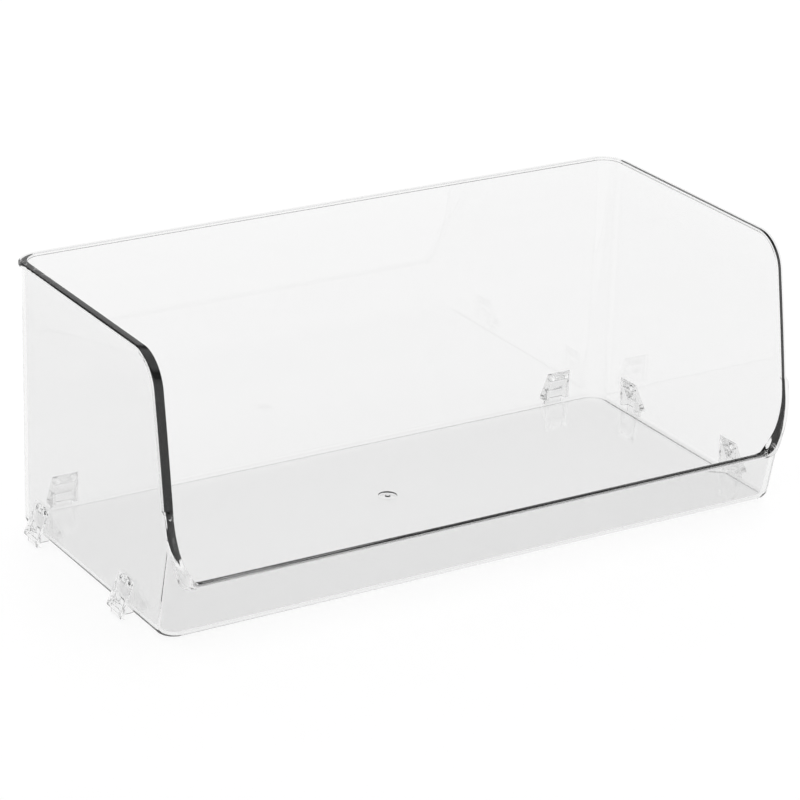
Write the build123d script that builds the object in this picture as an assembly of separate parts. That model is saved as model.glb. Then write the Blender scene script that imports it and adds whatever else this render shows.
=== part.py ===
"""Open-fronted clear storage bin that stacks: a moulded shell and six push-in stacking clips.

Millimetres, +Z up, front towards -Y. The origin is the middle of the object's box, at the height of
the clip tips that the bin stands on. The pieces are drawn on the shell's own datum (Y = 0 at the front
of the lip, Z = 0 under the base) and moved into place when they are written.
"""

import os
from math import radians, tan

from build123d import *

# Shell
RIM_WIDTH = 320.0  # side to side, over the rim
RIM_DEPTH = 151.0  # front of the lip to back of the rim
BODY_HEIGHT = 125.0  # underside of the base to top of the rim
LIP_HEIGHT = 26.2  # underside of the base to top of the front lip
WALL = 2.5
FLOOR = 1.6
BACK_CORNER_RADIUS = 11.5  # upright corners, outside of the wall
FRONT_CORNER_RADIUS = 8.5
BASE_SETBACK = 7.0  # base edge behind the front of the lip: the front wall leans forward
BASE_EDGE_RADIUS = 3.4
FLOOR_FILLET = 2.5

# Rim: a thicker band that follows the cut edge of the walls
RIM_PROUD = 1.5  # beyond the outside of the wall
RIM_HEIGHT = 1.8

# Front edge of a side wall, drawn on its inside: a bowed line that meets the level top in a shoulder
EDGE_UPRIGHT_Y = 0.4  # lowest stretch
EDGE_UPRIGHT_TOP = 35.0
EDGE_MIDDLE = (6.4, 75)
EDGE_TOP_Y = 15.3
SHOULDER_RADIUS = 17.5
EDGE_SLANT = 18.0  # degrees backward, from the inside of a side wall out
CORNER_SLANT = 20.0  # degrees backward, from the inside of a side wall toward the middle

# Ends of the level lip, seen along the diagonal of the front corner: they turn up into the side walls
LIP_END = 5.1  # from the middle of the corner towards the lip
LIP_END_RADIUS = 5.0
LIP_END_LEAN = 13.0  # degrees from upright
LIP_END_TOP = 60.0  # above this the side walls' own edge is the only one

# Gate mark in the floor, where the plastic entered the mould
GATE_Y = 89.5
GATE_RADIUS = 4.4
GATE_DEPTH = 0.4
GATE_NUB_RADIUS = 1.1
GATE_NUB_HEIGHT = 0.5

# Stacking clips: a hollow wedge with a tab that hangs outside the rim of the bin below
CLIP_WIDTH = 12.8
CLIP_TOP = 16.6
CLIP_PROJECTION = 6.1
ROOF_END = 2.5  # outer lower edge of the sloping roof
ROOF_THICKNESS = 1.85  # level, through the slope
ROOT_HEIGHT = 4.6  # solid block that carries the pegs
CHEEK_THICKNESS = 1.6
CHEEK_END = 1.6
TAB_WIDTH = 9.8
TAB_INSIDE = 3.4  # wall to the inside of the tab
TAB_THICKNESS = 1.6
TAB_TOP = 6.0
TAB_DROP = 1.6  # tip below the underside of the base
CLIP_GAP = 0.05  # clip to wall
PEG_RADIUS = 1.2
PEG_CLEARANCE = 0.05
PEG_SPACING = 7.6
PEG_DROP = 2.4  # below the top of the clip
PEG_CHAMFER = 0.3
SIDE_CLIPS_Y = {"front": 41.6, "rear": 122.8}
BACK_CLIPS_X = {"left": -133.2, "right": 133.2}

# Derived
HALF_WIDTH = RIM_WIDTH / 2 - RIM_PROUD  # to the outside of the side walls
BACK_Y = RIM_DEPTH - RIM_PROUD  # outside of the back wall
FRONT_LEAN = (BASE_SETBACK - RIM_PROUD) / LIP_HEIGHT
CORNER_X = HALF_WIDTH - FRONT_CORNER_RADIUS  # middle of the front corner's rounding
CORNER_Y = RIM_PROUD + FRONT_CORNER_RADIUS  # the same, at the height of the lip
ROOF_SLOPE = CLIP_PROJECTION / (CLIP_TOP - ROOF_END)
CLIPS_BACK_Y = BACK_Y + CLIP_GAP + CLIP_PROJECTION  # rearmost point of the whole object
FAR = 250.0  # reach of cutting blocks


def front_y(height):
    """Y of the outside of the leaning front wall at a height above the base."""
    return BASE_SETBACK - FRONT_LEAN * height


def tub(outset, bottom, top):
    """Block inside the walls' outer faces, grown sideways by outset, with rounded upright corners."""
    back = BACK_Y + outset
    outline = Polyline(
        (front_y(bottom) - outset, bottom),
        (back, bottom),
        (back, top),
        (front_y(top) - outset, top),
        close=True,
    )
    block = extrude(Plane.YZ * make_face(outline), HALF_WIDTH + outset, both=True)
    height = top - bottom
    for end, radius in ((0, FRONT_CORNER_RADIUS), (-1, BACK_CORNER_RADIUS)):
        upright = block.edges().filter_by(lambda edge: edge.bounding_box().size.Z > 0.99 * height)
        block = fillet(upright.group_by(Axis.Y)[end], radius + outset)
    return block


def round_lowest_edges(solid, radius):
    """Round the edges that go round the lowest face."""
    return fillet(solid.faces().sort_by(Axis.Z)[0].edges(), radius)


def side_cut(grow):
    """The space in front of and above the right wall's cut edge, as far as that edge shapes it."""
    upright = Line((EDGE_UPRIGHT_Y, LIP_HEIGHT), (EDGE_UPRIGHT_Y, EDGE_UPRIGHT_TOP))
    bow = ThreePointArc(upright @ 1, EDGE_MIDDLE, (EDGE_TOP_Y, BODY_HEIGHT))
    around = Polyline(
        bow @ 1,
        (FAR, BODY_HEIGHT),
        (FAR, FAR),
        (-FAR, FAR),
        (-FAR, LIP_HEIGHT),
        upright @ 0,
    )
    outline = make_face([upright, bow, around])
    shoulder = outline.vertices().sort_by_distance((EDGE_TOP_Y, BODY_HEIGHT))[0]
    outline = fillet(shoulder, SHOULDER_RADIUS)
    inside_of_wall = Plane.YZ.offset(HALF_WIDTH - WALL)
    space = inside_of_wall * grown(outline, grow)
    across_wall = Vector(1, 0, 0).rotate(Axis.Z, EDGE_SLANT)
    to_middle = Vector(-1, 0, 0).rotate(Axis.Z, -CORNER_SLANT)
    return extrude(space, FAR, dir=across_wall) + extrude(space, FAR, dir=to_middle)


def lip_cut(grow):
    """The space above the lip, as far as the lip and its right end shape it."""
    lean = (LIP_END_TOP - LIP_HEIGHT) * tan(radians(LIP_END_LEAN))
    outline = make_face(
        Polyline(
            (LIP_END, LIP_HEIGHT),
            (2 * FAR, LIP_HEIGHT),
            (2 * FAR, FAR),
            (-2 * FAR, FAR),
            (-2 * FAR, LIP_END_TOP),
            (LIP_END - lean, LIP_END_TOP),
            close=True,
        )
    )
    lip_end = outline.vertices().sort_by_distance((LIP_END, LIP_HEIGHT))[0]
    outline = fillet(lip_end, LIP_END_RADIUS)
    across_corner = Plane((CORNER_X, CORNER_Y, 0), x_dir=(-1, -1, 0), z_dir=(-1, 1, 0))
    return extrude(across_corner * grown(outline, grow), FAR, both=True)


def grown(face, distance):
    """The flat face with its outline moved outward by a distance."""
    return offset(face, distance, kind=Kind.INTERSECTION) if distance else face


def opening(grow):
    """The space in front of and above the walls' cut edge, grown by a distance into the walls."""
    right_half = Pos(FAR / 2, 0, 0) * Box(FAR, 2 * FAR, 2 * FAR)
    right = side_cut(grow) & lip_cut(grow) & right_half
    return right + mirror(right, about=Plane.YZ)


def gate_mark():
    """The shallow dish in the floor, and the stub of plastic that stands in it."""
    dish = Pos(0, GATE_Y, FLOOR) * Cylinder(GATE_RADIUS, 2 * GATE_DEPTH)
    stub = Pos(0, GATE_Y, FLOOR - GATE_DEPTH) * Cylinder(GATE_NUB_RADIUS, 2 * GATE_NUB_HEIGHT)
    return dish, stub


def peg_pair(radius, length):
    """Two level pegs that run back from the clip's wall face, which is the plane Y = 0."""
    pegs = Part()
    for side in (-1, 1):
        place = Pos(side * PEG_SPACING / 2, -length / 2, CLIP_TOP - PEG_DROP)
        pegs += place * Rot(X=90) * Cylinder(radius, length)
    return pegs


def clip():
    """One clip in its own frame: wall face on the plane Y = 0, outward +Y, heights as on the shell."""

    def roof_y(height, inset=0.0):
        return ROOF_SLOPE * (CLIP_TOP - height) - inset

    wedge_outline = Polyline(
        (0, CHEEK_END),
        (CLIP_PROJECTION, CHEEK_END),
        (CLIP_PROJECTION, ROOF_END),
        (0, CLIP_TOP),
        close=True,
    )
    pocket_top = CLIP_TOP - ROOT_HEIGHT
    pocket_shoulder = CLIP_TOP - (TAB_INSIDE + ROOF_THICKNESS) / ROOF_SLOPE
    pocket_outline = Polyline(
        (-WALL, -FLOOR),
        (TAB_INSIDE, -FLOOR),
        (TAB_INSIDE, pocket_shoulder),
        (roof_y(pocket_top, ROOF_THICKNESS), pocket_top),
        (-WALL, pocket_top),
        close=True,
    )
    wedge = extrude(Plane.YZ * make_face(wedge_outline), CLIP_WIDTH / 2, both=True)
    pocket_half = CLIP_WIDTH / 2 - CHEEK_THICKNESS
    pocket = extrude(Plane.YZ * make_face(pocket_outline), pocket_half, both=True)
    tab_height = TAB_TOP + TAB_DROP
    tab_place = Pos(0, TAB_INSIDE + TAB_THICKNESS / 2, TAB_TOP - tab_height / 2)
    tab = tab_place * Box(TAB_WIDTH, TAB_THICKNESS, tab_height)
    pegs = peg_pair(PEG_RADIUS, WALL + CLIP_GAP)
    peg_ends = pegs.faces().filter_by(Axis.Y).group_by(Axis.Y)[0]
    pegs = chamfer([edge for face in peg_ends for edge in face.edges()], PEG_CHAMFER)
    return wedge - pocket + tab + pegs


def clip_places():
    """Each clip's name and the place that carries it from its own frame to the shell's wall."""
    places = {}
    for name, y in SIDE_CLIPS_Y.items():
        places[f"stacking_clip_left_{name}"] = Pos(-HALF_WIDTH - CLIP_GAP, y, 0) * Rot(Z=90)
        places[f"stacking_clip_right_{name}"] = Pos(HALF_WIDTH + CLIP_GAP, y, 0) * Rot(Z=-90)
    for name, x in BACK_CLIPS_X.items():
        places[f"stacking_clip_back_{name}"] = Pos(x, BACK_Y + CLIP_GAP, 0)
    return places


def shell(places):
    """Floor, walls and rim in one moulding, with two peg holes through the wall behind each clip."""
    cavity = round_lowest_edges(tub(-WALL, FLOOR, BODY_HEIGHT + WALL), FLOOR_FILLET)
    walls = round_lowest_edges(tub(0, 0, BODY_HEIGHT), BASE_EDGE_RADIUS)
    rim = tub(RIM_PROUD, BASE_EDGE_RADIUS, BODY_HEIGHT) & opening(RIM_HEIGHT)
    dish, stub = gate_mark()
    body = walls + rim - cavity - opening(0) - dish + stub
    holes = peg_pair(PEG_RADIUS + PEG_CLEARANCE, 3 * WALL)
    for place in places.values():
        body -= place * Pos(0, WALL, 0) * holes
    return body


def pieces():
    """Every piece by name, on the shell's datum."""
    places = clip_places()
    one_clip = clip()
    named = {name: place * one_clip for name, place in places.items()}
    named["bin_shell"] = shell(places)
    return named


def to_origin(shell_piece):
    """The move from the shell's datum to the finished object's frame.

    The corners of the rim reach a little in front of the lip, so the front is read from the shell.
    """
    front = shell_piece.bounding_box().min.Y
    return Pos(0, -(front + CLIPS_BACK_Y) / 2, TAB_DROP)


PIECES = pieces()
TO_ORIGIN = to_origin(PIECES["bin_shell"])
os.makedirs("parts", exist_ok=True)
for node, piece in PIECES.items():
    export_step(TO_ORIGIN * piece, f"parts/{node}.step")
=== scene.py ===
"""The looks of a clear, open-fronted storage bin: a moulded shell and six push-in stacking clips.

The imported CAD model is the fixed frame. The shell and the clips are rebuilt here as finer meshes with the
small roundings of a real moulding, because clear plastic shows every edge. Lengths are in millimetres on
the shell's own datum (Y = 0 at the front of the lip, Z = 0 under the base) until a mesh is placed.
"""

from math import cos, pi, radians, sin, sqrt, tan

import bmesh
import bpy
import numpy as np
from mathutils import Matrix, Vector


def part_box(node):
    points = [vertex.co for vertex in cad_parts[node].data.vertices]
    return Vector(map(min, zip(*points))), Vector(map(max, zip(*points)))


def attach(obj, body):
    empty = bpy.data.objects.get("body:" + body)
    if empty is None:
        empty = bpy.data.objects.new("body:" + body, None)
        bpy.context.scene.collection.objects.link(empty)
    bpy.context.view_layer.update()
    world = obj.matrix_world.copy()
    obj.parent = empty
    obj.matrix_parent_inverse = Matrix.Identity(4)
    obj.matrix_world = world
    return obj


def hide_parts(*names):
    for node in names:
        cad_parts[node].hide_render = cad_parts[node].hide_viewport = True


MM = 0.001

# Shell
RIM_WIDTH = 320.0
RIM_DEPTH = 151.0
BODY_HEIGHT = 125.0
LIP_HEIGHT = 26.2
WALL = 2.5
FLOOR = 1.6
BACK_CORNER_RADIUS = 11.5
FRONT_CORNER_RADIUS = 8.5
BASE_SETBACK = 7.0
BASE_EDGE_RADIUS = 3.4
FLOOR_FILLET = 2.5
FLAT_MARGIN = 0.5  # flat strip that keeps the shading of the roundings off the floor
RIM_PROUD = 1.5
RIM_HEIGHT = 1.8
HALF_WIDTH = RIM_WIDTH / 2 - RIM_PROUD
BACK_Y = RIM_DEPTH - RIM_PROUD
FRONT_LEAN = (BASE_SETBACK - RIM_PROUD) / LIP_HEIGHT

# Front edge of a side wall, drawn on its inside
EDGE_UPRIGHT_Y = 0.4
EDGE_UPRIGHT_TOP = 35.0
EDGE_MIDDLE = (6.4, 75.0)
EDGE_TOP_Y = 15.3
SHOULDER_RADIUS = 17.5
EDGE_SLANT = radians(-18.0)  # across the wall, from its inside out
SLANT_BLEND = 2.0  # reach of the blend of the two slants, to either side of the wall's inside
CORNER_SLANT = radians(20.0)  # round the corner, from the inside of the side wall to the front

# Ends of the lip, seen along the diagonal of the front corner
CORNER_X = HALF_WIDTH - FRONT_CORNER_RADIUS
CORNER_Y = RIM_PROUD + FRONT_CORNER_RADIUS
LIP_END = 5.1
LIP_END_RADIUS = 5.0
LIP_END_LEAN = radians(13.0)
LIP_END_TOP = 60.0

# The rim's crowned section: (across, down) of the crown's two sides, then the small roundings under it
RIM_INNER_CROWN = (0.3, 0.25)
RIM_OUTER_CROWN = (1.6, 0.9)
RIM_LOWER_ROUND = 0.35
RIM_ROOT_FILLET = 0.3

# Gate mark in the floor
GATE_Y = 89.5
GATE_RADIUS = 4.4
GATE_DEPTH = 0.4
GATE_NUB_RADIUS = 1.1
GATE_NUB_HEIGHT = 0.5
GATE_ROUND = 0.2

# Clips
CLIP_WIDTH = 12.8
CLIP_TOP = 16.6
CLIP_PROJECTION = 6.1
ROOF_END = 2.5
ROOF_THICKNESS = 1.85
ROOT_HEIGHT = 4.6
CHEEK_THICKNESS = 1.6
CHEEK_END = 1.6
TAB_WIDTH = 9.8
TAB_INSIDE = 3.4
TAB_THICKNESS = 1.6
TAB_TOP = 6.0
TAB_DROP = 1.6
CLIP_GAP = 0.05
CLIP_ROUND = 0.22
PEG_RADIUS = 1.2
PEG_CLEARANCE = 0.05
PEG_SPACING = 7.6
PEG_DROP = 2.4
SIDE_CLIPS_Y = {"front": 41.6, "rear": 122.8}
BACK_CLIPS_X = {"left": -133.2, "right": 133.2}

# Clear plastic. Its waves and its uneven polish come from one noise
PLASTIC_IOR = 1.55
SURFACE_TINT = (0.9, 0.9, 0.9)
DEPTH_TINT = (0.1, 0.1, 0.1)
DEPTH_DENSITY = 1.0  # per metre
WAVE_DETAIL = 2.0
WAVE_DEPTH = 0.2
DULLEST = 0.04
SHELL_WAVES = {"waviness": 0.15, "scale": 14.0}
CLIP_WAVES = {"waviness": 0.2, "scale": 60.0}

# Floor of the studio: a grey paper that a steady glow of its own lifts to white
FLOOR_HALF_SIZE = 6.0  # metres
FLOOR_TONES = (0.16, 0.18)
FLOOR_GRAIN = 400.0
FLOOR_ROUGHNESS = 0.5
FLOOR_GLOSS = 0.1
FLOOR_GLOW = 0.88

# Studio light: (sine of the height above the horizon, level), with one darker band for the edges to show
SKY_STRENGTH = 1.05
SKY_STOPS = [(0.0, 1.0), (0.2, 1.0), (0.34, 0.78), (0.46, 0.68), (0.5, 0.2), (0.7, 0.2), (0.85, 1.0)]
MOST_BOUNCES = 16  # of a light path; more of them turn the dark edges mid grey

# Camera, in metres
CAMERA_PLACE = (-0.741232, -1.180275, 0.629396)
CAMERA_LOOK = (0.490583, 0.783571, -0.381243)
CAMERA_ROLL = 0.030787
CAMERA_LENS = 150.8  # millimetres, on a sensor this wide
CAMERA_SENSOR = 36.0
CAMERA_REACH = 20.0


# ---------------------------------------------------------------- the sheet that the walls lie on

FRONT_END = CORNER_X
CORNER_END = FRONT_END + FRONT_CORNER_RADIUS * pi / 2
SIDE_BACK_Y = BACK_Y - BACK_CORNER_RADIUS
SIDE_END = CORNER_END + SIDE_BACK_Y - CORNER_Y
BACK_CORNER_END = SIDE_END + BACK_CORNER_RADIUS * pi / 2
HALF_GIRTH = BACK_CORNER_END + HALF_WIDTH - BACK_CORNER_RADIUS


def on_sheet(s, z, t):
    """Points of the right half of the walls.

    s runs round the outside from the middle of the front (0) to the middle of the back (HALF_GIRTH), z is
    the height and t the distance outward from the wall's outer face.
    """
    s, z, t = np.broadcast_arrays(np.asarray(s, float), z, t)
    corner_y = BASE_SETBACK - FRONT_LEAN * z + FRONT_CORNER_RADIUS
    front_turn = np.clip((s - FRONT_END) / FRONT_CORNER_RADIUS, 0, pi / 2)
    back_turn = np.clip((s - SIDE_END) / BACK_CORNER_RADIUS, 0, pi / 2)
    along_side = np.clip((s - CORNER_END) / (SIDE_END - CORNER_END), 0, 1)
    along_front = np.clip(s, 0, FRONT_END)
    along_back = np.clip(s - BACK_CORNER_END, 0, None)
    front_reach = FRONT_CORNER_RADIUS + t
    back_reach = BACK_CORNER_RADIUS + t
    front_x = along_front + front_reach * np.sin(front_turn)
    front_y = corner_y - front_reach * np.cos(front_turn)
    back_x = HALF_WIDTH - BACK_CORNER_RADIUS - along_back + back_reach * np.cos(back_turn)
    back_y = SIDE_BACK_Y + back_reach * np.sin(back_turn)
    side_y = corner_y + along_side * (SIDE_BACK_Y - corner_y)
    at_front = s < CORNER_END
    at_back = s > SIDE_END
    x = np.where(at_front, front_x, np.where(at_back, back_x, HALF_WIDTH + t))
    y = np.where(at_front, front_y, np.where(at_back, back_y, side_y))
    return np.stack([x, y, z], axis=-1)


def edge_circle():
    """Centre (y, z) and radius of the bowed part of a side wall's front edge."""
    points = [(EDGE_UPRIGHT_Y, EDGE_UPRIGHT_TOP), EDGE_MIDDLE, (EDGE_TOP_Y, BODY_HEIGHT)]
    rows = [(2 * y, 2 * z, 1.0) for y, z in points]
    sums = [y * y + z * z for y, z in points]
    centre_y, centre_z, rest = np.linalg.solve(rows, sums)
    return centre_y, centre_z, sqrt(rest + centre_y**2 + centre_z**2)


def side_edge_y(z):
    """Y of a side wall's front edge at a height, on the inside of the wall."""
    centre_y, centre_z, radius = edge_circle()
    shoulder_z = BODY_HEIGHT - SHOULDER_RADIUS
    reach = radius - SHOULDER_RADIUS
    shoulder_y = centre_y - sqrt(reach**2 - (centre_z - shoulder_z) ** 2)
    shoulder_start = centre_z + (shoulder_z - centre_z) * radius / reach
    bow = centre_y - np.sqrt(np.maximum(radius**2 - (z - centre_z) ** 2, 0))
    shoulder = shoulder_y - np.sqrt(np.maximum(SHOULDER_RADIUS**2 - (z - shoulder_z) ** 2, 0))
    bow = np.where(z < EDGE_UPRIGHT_TOP, EDGE_UPRIGHT_Y, bow)
    return np.where(z > shoulder_start, shoulder, bow)


def lip_edge_z(w):
    """Height of the lip and its rising end, at a distance w along the corner's diagonal view."""
    tangent = LIP_END_RADIUS * tan((pi / 2 - LIP_END_LEAN) / 2)
    level_end = LIP_END + tangent
    slope_end = LIP_END - tangent * sin(LIP_END_LEAN)
    middle_z = LIP_HEIGHT + LIP_END_RADIUS
    drop = np.sqrt(np.maximum(LIP_END_RADIUS**2 - (level_end - w) ** 2, 0))
    rising = LIP_HEIGHT + (LIP_END - w) / tan(LIP_END_LEAN)
    z = np.where(w < slope_end, rising, middle_z - drop)
    z = np.where(w > level_end, LIP_HEIGHT, z)
    return np.minimum(z, LIP_END_TOP)


def is_open(points):
    """Whether each point is in front of or above the walls' cut edge."""
    x, y, z = points[..., 0], points[..., 1], points[..., 2]
    outward = x - HALF_WIDTH + WALL
    share = np.clip(outward / SLANT_BLEND / 2 + 0.5, 0, 1)
    share = share * share * (3 - 2 * share)
    slanted_y = y + outward * (share * tan(EDGE_SLANT) + (1 - share) * tan(CORNER_SLANT))
    w = ((CORNER_X - x) - (y - CORNER_Y)) / sqrt(2)
    in_front = (slanted_y < side_edge_y(z)) | (z > BODY_HEIGHT)
    return in_front & (z > lip_edge_z(w))


def bisect(find_point, low, high, steps=30):
    """The distances between low (in the wall) and high (in the open) at which points cross the edge."""
    for _ in range(steps):
        middle = (low + high) / 2
        opened = is_open(find_point(middle))
        low = np.where(opened, low, middle)
        high = np.where(opened, middle, high)
    return (low + high) / 2


# ---------------------------------------------------------------- shell

FINE_STEP = 0.8
COARSE_STEP = 8.0
WALL_ROWS = 6
ARC_STEPS = 4
CROWN_STEPS = 9
FILLET_STEPS = 10
SECTION_DEPTH = 3.0  # of the inner end of the rim's section below the cut edge
SEARCH_MARGIN = 2.0  # above and below the walls, in the search for the cut edge
SEARCH_REACH = 4.0  # into and out of the wall, in the search for the rim's shift
PATH_STEP = 0.05
FRONT_FINE_REACH = (12.0, 42.0)  # finely stepped lengths before and after the front corner
BACK_FINE_REACH = 2.0
ROUND_SIDES = 40


def rim_path():
    """Stations along the cut edge on the walls' outer face: s, z, and the direction into the wall."""
    s = np.arange(0, HALF_GIRTH, PATH_STEP)
    low = np.full_like(s, LIP_HEIGHT - SEARCH_MARGIN)
    high = np.full_like(s, BODY_HEIGHT + SEARCH_MARGIN)
    z = bisect(lambda height: on_sheet(s, height, 0), low, high)
    steps = np.linalg.norm(np.diff(on_sheet(s, z, 0), axis=0), axis=1)
    before, after = FRONT_FINE_REACH
    near_front_corner = (s > FRONT_END - before) & (s < CORNER_END + after)
    near_back_corner = (s > SIDE_END - BACK_FINE_REACH) & (s < BACK_CORNER_END + BACK_FINE_REACH)
    pace = np.where(near_front_corner | near_back_corner, FINE_STEP, COARSE_STEP)
    travelled = np.concatenate([[0], np.cumsum(steps / pace[:-1])])
    stations = np.linspace(0, travelled[-1], int(travelled[-1]) + 1)
    s = np.interp(stations, travelled, s)
    z = np.interp(stations, travelled, z)
    tangent = np.stack([np.gradient(s), np.gradient(z)], axis=-1)
    tangent /= np.linalg.norm(tangent, axis=1, keepdims=True)
    tangent[[0, -1]] = (1, 0)
    into_wall = np.stack([tangent[:, 1], -tangent[:, 0]], axis=-1)
    return s, z, into_wall


def edge_shift(s, z, into_wall, t):
    """How far into the wall the cut edge lies at a distance t from the outer face, station by station."""

    def find(shift):
        return on_sheet(s + shift * into_wall[:, 0], z + shift * into_wall[:, 1], t)

    return bisect(find, np.full_like(s, SEARCH_REACH), np.full_like(s, -SEARCH_REACH))


def quarter(steps=ARC_STEPS):
    """Sines and cosines of a quarter turn."""
    angles = np.linspace(0, pi / 2, steps + 1)
    return list(zip(np.sin(angles), np.cos(angles)))


def rim_section():
    """Depth below the cut edge and distance from the outer face, round the rim from inside to outside."""
    section = [(SECTION_DEPTH, -WALL)]
    width, drop = RIM_INNER_CROWN
    for sine, cosine in quarter(CROWN_STEPS):
        section.append((drop * (1 - sine), -WALL + width * (1 - cosine)))
    width, drop = RIM_OUTER_CROWN
    for sine, cosine in quarter(CROWN_STEPS)[1:]:
        section.append((drop * (1 - cosine), RIM_PROUD - width * (1 - sine)))
    for sine, cosine in quarter():
        lower_depth = RIM_HEIGHT - RIM_LOWER_ROUND * (1 - sine)
        section.append((lower_depth, RIM_PROUD - RIM_LOWER_ROUND * (1 - cosine)))
    for sine, cosine in quarter():
        section.append((RIM_HEIGHT + RIM_ROOT_FILLET * (1 - cosine), RIM_ROOT_FILLET * (1 - sine)))
    return section


def half_strips():
    """For every station, the points of the wall's section from the floor, over the rim, to the underside."""
    s, z, into_wall = rim_path()
    shift_inside = edge_shift(s, z, into_wall, -WALL)
    shift_outside = edge_shift(s, z, into_wall, RIM_PROUD)
    rim = []
    for depth, t in rim_section():
        share = (t + WALL) / (RIM_PROUD + WALL)
        reach = depth + shift_inside + share * (shift_outside - shift_inside)
        rim.append((s + reach * into_wall[:, 0], z + reach * into_wall[:, 1], t))

    inner_s, inner_top, _ = rim[0]
    outer_s, outer_top, _ = rim[-1]
    inner = [(inner_s, FLOOR, -WALL - FLOOR_FILLET - FLAT_MARGIN)]
    inner += [
        (inner_s, FLOOR + FLOOR_FILLET * (1 - up), -WALL - FLOOR_FILLET * (1 - along))
        for up, along in reversed(quarter(FILLET_STEPS))
    ]
    inner_foot = FLOOR + FLOOR_FILLET
    rows = [row / WALL_ROWS for row in range(1, WALL_ROWS)]
    inner += [(inner_s, inner_foot + row * (inner_top - inner_foot), -WALL) for row in rows]
    outer = [(outer_s, outer_top + row * (BASE_EDGE_RADIUS - outer_top), 0.0) for row in rows]
    outer += [
        (outer_s, BASE_EDGE_RADIUS * (1 - down), -BASE_EDGE_RADIUS * (1 - along))
        for down, along in quarter(FILLET_STEPS)
    ]
    outer.append((outer_s, 0.0, -BASE_EDGE_RADIUS - FLAT_MARGIN))
    columns = [on_sheet(*place) for place in inner + rim + outer]
    return np.stack(columns, axis=1)


def gate_profile():
    """Radius and height of the gate mark's rings, from the floor in to the middle."""
    bottom = FLOOR - GATE_DEPTH
    top = bottom + GATE_NUB_HEIGHT
    return [
        (GATE_RADIUS, FLOOR),
        (GATE_RADIUS - GATE_ROUND / 2, FLOOR - GATE_ROUND / 2),
        (GATE_RADIUS - GATE_ROUND, bottom + GATE_ROUND / 4),
        (GATE_RADIUS - 2 * GATE_ROUND, bottom),
        (GATE_NUB_RADIUS + GATE_ROUND, bottom),
        (GATE_NUB_RADIUS, bottom + GATE_ROUND),
        (GATE_NUB_RADIUS, top - GATE_ROUND),
        (GATE_NUB_RADIUS - GATE_ROUND, top),
    ]


def add_gate(mesh):
    """Adds the gate mark to the shell's mesh and gives back its outermost ring's edges."""
    turn = [2 * pi * step / ROUND_SIDES for step in range(ROUND_SIDES)]
    rings = []
    for radius, height in gate_profile():
        rings.append([mesh.verts.new((radius * cos(at), GATE_Y + radius * sin(at), height)) for at in turn])
    for outer, inner in zip(rings, rings[1:]):
        for step in range(ROUND_SIDES):
            after = (step + 1) % ROUND_SIDES
            mesh.faces.new((outer[step], outer[after], inner[after], inner[step]))
    mesh.faces.new(rings[-1])
    outermost = rings[0]
    following = outermost[1:] + outermost[:1]
    return [mesh.edges.get(pair) for pair in zip(outermost, following)]


def shell_mesh():
    """The whole shell, without the peg holes."""
    right = half_strips()
    left = right[-2:0:-1] * (-1, 1, 1)
    strips = np.concatenate([right, left])
    mesh = bmesh.new()
    grid = [[mesh.verts.new(point) for point in strip] for strip in strips]
    count = len(grid)
    for here in range(count):
        strip, following = grid[here], grid[(here + 1) % count]
        for low, high in zip(range(len(strip) - 1), range(1, len(strip))):
            mesh.faces.new((strip[low], following[low], following[high], strip[high]))
    around = [(grid[here], grid[(here + 1) % count]) for here in range(count)]
    floor_edges = [mesh.edges.get((one[0], other[0])) for one, other in around]
    under_edges = [mesh.edges.get((one[-1], other[-1])) for one, other in around]
    gate_edges = add_gate(mesh)
    bmesh.ops.triangle_fill(mesh, edges=floor_edges + gate_edges, use_beauty=True)
    bmesh.ops.triangle_fill(mesh, edges=under_edges, use_beauty=True)
    bmesh.ops.recalc_face_normals(mesh, faces=mesh.faces)
    return mesh


# ---------------------------------------------------------------- making and joining meshes


def new_object(name, mesh):
    """A Blender object from a bmesh, still in millimetres."""
    data = bpy.data.meshes.new(name)
    mesh.to_mesh(data)
    mesh.free()
    piece = bpy.data.objects.new(name, data)
    bpy.context.scene.collection.objects.link(piece)
    return piece


def discard(piece):
    """Removes an object that only helped to shape another."""
    data = piece.data
    bpy.data.objects.remove(piece)
    bpy.data.meshes.remove(data)


def apply_modifiers(piece):
    """Replaces an object's mesh by what its modifiers make of it."""
    graph = bpy.context.evaluated_depsgraph_get()
    before = piece.data
    piece.data = bpy.data.meshes.new_from_object(piece.evaluated_get(graph))
    piece.modifiers.clear()
    bpy.data.meshes.remove(before)


def combine(piece, other, operation):
    """Joins other to a piece or cuts it away."""
    modifier = piece.modifiers.new(operation, "BOOLEAN")
    modifier.operation = operation
    modifier.solver = "EXACT"
    modifier.object = other
    bpy.context.view_layer.update()
    apply_modifiers(piece)
    discard(other)


def prism(outline, half_width):
    """A solid with the outline (y, z), running half_width to each side along X."""
    mesh = bmesh.new()
    ends = []
    for x in (-half_width, half_width):
        ends.append([mesh.verts.new((x, y, z)) for y, z in outline])
    mesh.faces.new(ends[0])
    mesh.faces.new(reversed(ends[1]))
    count = len(outline)
    for here in range(count):
        after = (here + 1) % count
        mesh.faces.new((ends[0][here], ends[1][here], ends[1][after], ends[0][after]))
    bmesh.ops.recalc_face_normals(mesh, faces=mesh.faces)
    return new_object("prism", mesh)


def peg_pair(radius, start, end, places):
    """Round bars along Y from start to end at a pair of peg positions, moved to each of the places."""
    mesh = bmesh.new()
    for place in places:
        for side in (-1, 1):
            centre = Matrix.Translation((side * PEG_SPACING / 2, (start + end) / 2, CLIP_TOP - PEG_DROP))
            bmesh.ops.create_cone(
                mesh,
                cap_ends=True,
                segments=ROUND_SIDES,
                radius1=radius,
                radius2=radius,
                depth=end - start,
                matrix=place @ centre @ Matrix.Rotation(pi / 2, 4, "X"),
            )
    return new_object("pegs", mesh)


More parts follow.
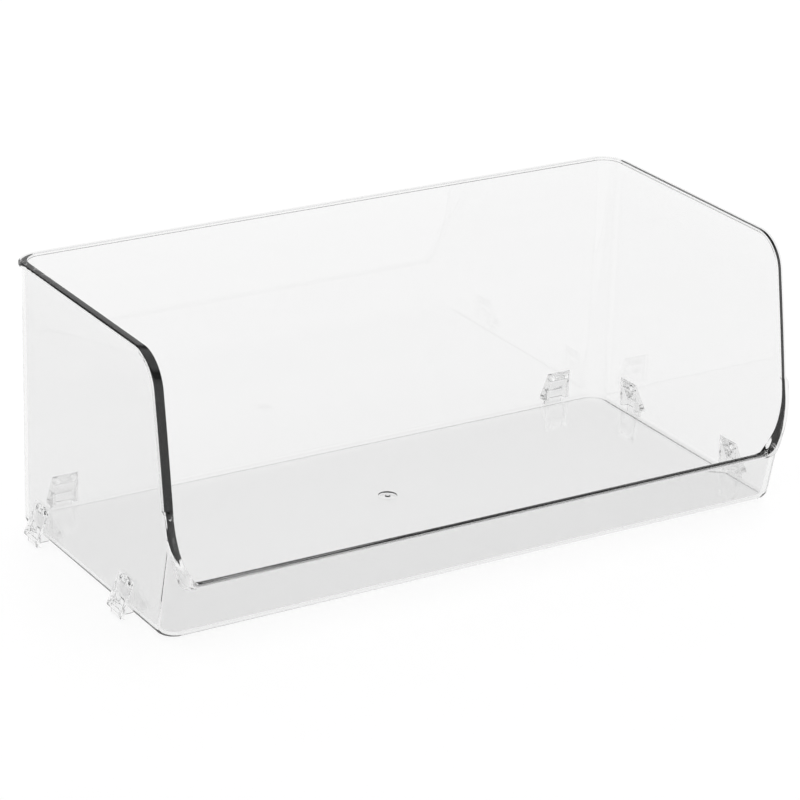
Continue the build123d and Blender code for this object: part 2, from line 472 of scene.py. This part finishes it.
def smooth(piece, angle=35.0):
    """Smooth shading, broken at edges sharper than the angle in degrees."""
    piece.data.polygons.foreach_set("use_smooth", [True] * len(piece.data.polygons))
    piece.data.set_sharp_from_angle(angle=radians(angle))


# ---------------------------------------------------------------- clips


def clip_places():
    """Each clip's name and the place that carries it from its own frame to the shell's wall."""
    places = {}
    for name, y in SIDE_CLIPS_Y.items():
        left = Matrix.Translation((-HALF_WIDTH - CLIP_GAP, y, 0))
        right = Matrix.Translation((HALF_WIDTH + CLIP_GAP, y, 0))
        places[f"left_{name}"] = left @ Matrix.Rotation(pi / 2, 4, "Z")
        places[f"right_{name}"] = right @ Matrix.Rotation(-pi / 2, 4, "Z")
    for name, x in BACK_CLIPS_X.items():
        places[f"back_{name}"] = Matrix.Translation((x, BACK_Y + CLIP_GAP, 0))
    return places


def clip_object():
    """One clip in its own frame: wall face on the plane Y = 0, outward +Y."""
    slope = CLIP_PROJECTION / (CLIP_TOP - ROOF_END)
    wedge_outline = [
        (0, CHEEK_END),
        (CLIP_PROJECTION, CHEEK_END),
        (CLIP_PROJECTION, ROOF_END),
        (0, CLIP_TOP),
    ]
    pocket_top = CLIP_TOP - ROOT_HEIGHT
    pocket_outline = [
        (-WALL, -FLOOR),
        (TAB_INSIDE, -FLOOR),
        (TAB_INSIDE, CLIP_TOP - (TAB_INSIDE + ROOF_THICKNESS) / slope),
        (slope * ROOT_HEIGHT - ROOF_THICKNESS, pocket_top),
        (-WALL, pocket_top),
    ]
    tab_outside = TAB_INSIDE + TAB_THICKNESS
    tab_outline = [
        (TAB_INSIDE, -TAB_DROP),
        (tab_outside, -TAB_DROP),
        (tab_outside, TAB_TOP),
        (TAB_INSIDE, TAB_TOP),
    ]
    piece = prism(wedge_outline, CLIP_WIDTH / 2)
    combine(piece, prism(pocket_outline, CLIP_WIDTH / 2 - CHEEK_THICKNESS), "DIFFERENCE")
    combine(piece, prism(tab_outline, TAB_WIDTH / 2), "UNION")
    pegs = peg_pair(PEG_RADIUS, -WALL - CLIP_GAP, ROOF_THICKNESS / 4, [Matrix.Identity(4)])
    combine(piece, pegs, "UNION")
    bevel = piece.modifiers.new("round", "BEVEL")
    bevel.width = CLIP_ROUND
    bevel.segments = 3
    bevel.limit_method = "ANGLE"
    bevel.angle_limit = radians(30)
    bpy.context.view_layer.update()
    apply_modifiers(piece)
    return piece


# ---------------------------------------------------------------- materials


def clear_plastic(name, waviness, scale):
    """Clear moulded plastic: bright gloss, faint flow waves, an uneven polish and grey in its depth."""
    material = bpy.data.materials.new(name)
    material.use_nodes = True
    nodes, links = material.node_tree.nodes, material.node_tree.links
    shader = nodes["Principled BSDF"]
    shader.inputs["Base Color"].default_value = (*SURFACE_TINT, 1)
    shader.inputs["Transmission Weight"].default_value = 1.0
    shader.inputs["IOR"].default_value = PLASTIC_IOR
    depth = nodes.new("ShaderNodeVolumeAbsorption")
    depth.inputs["Color"].default_value = (*DEPTH_TINT, 1)
    depth.inputs["Density"].default_value = DEPTH_DENSITY
    links.new(depth.outputs["Volume"], nodes["Material Output"].inputs["Volume"])
    place = nodes.new("ShaderNodeTexCoord")
    flow = nodes.new("ShaderNodeTexNoise")
    flow.inputs["Scale"].default_value = scale
    flow.inputs["Detail"].default_value = WAVE_DETAIL
    links.new(place.outputs["Object"], flow.inputs["Vector"])
    polish = nodes.new("ShaderNodeMapRange")
    polish.inputs["To Min"].default_value = 0.0
    polish.inputs["To Max"].default_value = DULLEST
    links.new(flow.outputs["Fac"], polish.inputs["Value"])
    links.new(polish.outputs["Result"], shader.inputs["Roughness"])
    bump = nodes.new("ShaderNodeBump")
    bump.inputs["Strength"].default_value = waviness
    bump.inputs["Distance"].default_value = WAVE_DEPTH * MM
    links.new(flow.outputs["Fac"], bump.inputs["Height"])
    links.new(bump.outputs["Normal"], shader.inputs["Normal"])
    return material


def floor_material():
    """Seamless grey paper with a faint sheen and fine grain, glowing evenly so that it looks white."""
    material = bpy.data.materials.new("white_sweep")
    material.use_nodes = True
    nodes, links = material.node_tree.nodes, material.node_tree.links
    shader = nodes["Principled BSDF"]
    shader.inputs["Roughness"].default_value = FLOOR_ROUGHNESS
    shader.inputs["Specular IOR Level"].default_value = FLOOR_GLOSS
    shader.inputs["Emission Color"].default_value = (1, 1, 1, 1)
    shader.inputs["Emission Strength"].default_value = FLOOR_GLOW
    grain = nodes.new("ShaderNodeTexNoise")
    grain.inputs["Scale"].default_value = FLOOR_GRAIN
    tone = nodes.new("ShaderNodeMapRange")
    darkest, lightest = FLOOR_TONES
    tone.inputs["To Min"].default_value = darkest
    tone.inputs["To Max"].default_value = lightest
    links.new(grain.outputs["Fac"], tone.inputs["Value"])
    links.new(tone.outputs["Result"], shader.inputs["Base Color"])
    return material


# ---------------------------------------------------------------- scene


def place_piece(piece, name, place, material, body, node):
    """Moves a mesh from its datum in millimetres into the row's frame and ties it to its CAD node."""
    piece.name = name
    piece.data.transform(place)
    smooth(piece)
    piece.data.materials.clear()
    piece.data.materials.append(material)
    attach(piece, body)
    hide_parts(node)


def to_row():
    """From the shell's datum in millimetres to the row's frame in metres, read from the CAD shell's box."""
    low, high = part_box("bin_shell")
    shift = Matrix.Translation((0, high.y - RIM_DEPTH * MM, low.z))
    return shift @ Matrix.Scale(MM, 4)


def add_camera():
    """The camera at the photographed angle."""
    data = bpy.data.cameras.new("camera")
    data.lens = CAMERA_LENS
    data.sensor_width = CAMERA_SENSOR
    data.clip_end = CAMERA_REACH
    camera = bpy.data.objects.new("camera", data)
    aim = Vector(CAMERA_LOOK).to_track_quat("-Z", "Y")
    camera.matrix_world = (
        Matrix.Translation(CAMERA_PLACE) @ aim.to_matrix().to_4x4() @ Matrix.Rotation(CAMERA_ROLL, 4, "Z")
    )
    bpy.context.scene.collection.objects.link(camera)
    bpy.context.scene.camera = camera


def add_floor():
    """A large, plain floor."""
    mesh = bmesh.new()
    bmesh.ops.create_grid(mesh, x_segments=2, y_segments=2, size=FLOOR_HALF_SIZE)
    floor = new_object("floor", mesh)
    floor.data.materials.append(floor_material())


def add_world():
    """Soft white studio light: a bright ceiling, a white horizon and a darker band between them."""
    world = bpy.data.worlds.new("studio")
    world.use_nodes = True
    bpy.context.scene.world = world
    nodes, links = world.node_tree.nodes, world.node_tree.links
    direction = nodes.new("ShaderNodeTexCoord")
    parts = nodes.new("ShaderNodeSeparateXYZ")
    ramp = nodes.new("ShaderNodeValToRGB")
    links.new(direction.outputs["Generated"], parts.inputs["Vector"])
    links.new(parts.outputs["Z"], ramp.inputs["Fac"])
    links.new(ramp.outputs["Color"], nodes["Background"].inputs["Color"])
    nodes["Background"].inputs["Strength"].default_value = SKY_STRENGTH
    stops = ramp.color_ramp.elements
    while len(stops) < len(SKY_STOPS):
        stops.new(1.0)
    for stop, (height, level) in zip(stops, SKY_STOPS):
        stop.position = height
        stop.color = (level, level, level, 1)


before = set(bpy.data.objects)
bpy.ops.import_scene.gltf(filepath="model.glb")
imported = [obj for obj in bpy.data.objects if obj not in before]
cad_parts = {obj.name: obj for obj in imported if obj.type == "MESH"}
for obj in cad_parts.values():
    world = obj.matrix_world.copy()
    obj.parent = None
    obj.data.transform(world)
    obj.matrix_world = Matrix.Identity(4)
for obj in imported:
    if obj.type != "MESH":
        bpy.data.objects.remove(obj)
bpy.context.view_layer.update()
PLACE = to_row()
SHELL_PLASTIC = clear_plastic("clear_shell", **SHELL_WAVES)
CLIP_PLASTIC = clear_plastic("clear_clip", **CLIP_WAVES)

places = clip_places()
shell = new_object("shell", shell_mesh())
combine(shell, peg_pair(PEG_RADIUS + PEG_CLEARANCE, -2 * WALL, WALL, places.values()), "DIFFERENCE")
place_piece(shell, "moulded_shell", PLACE, SHELL_PLASTIC, "bin", "bin_shell")

model_clip = clip_object()
for where, place in places.items():
    copy = bpy.data.objects.new(where, model_clip.data.copy())
    bpy.context.scene.collection.objects.link(copy)
    place_piece(
        copy,
        f"clip_{where}_piece",
        PLACE @ place,
        CLIP_PLASTIC,
        f"clip_{where}",
        f"stacking_clip_{where}",
    )
discard(model_clip)

add_camera()
add_floor()
add_world()
bpy.context.scene.view_settings.view_transform = "Standard"
bpy.context.scene.cycles.max_bounces = MOST_BOUNCES
bpy.context.scene.cycles.glossy_bounces = MOST_BOUNCES
bpy.context.scene.cycles.transmission_bounces = MOST_BOUNCES
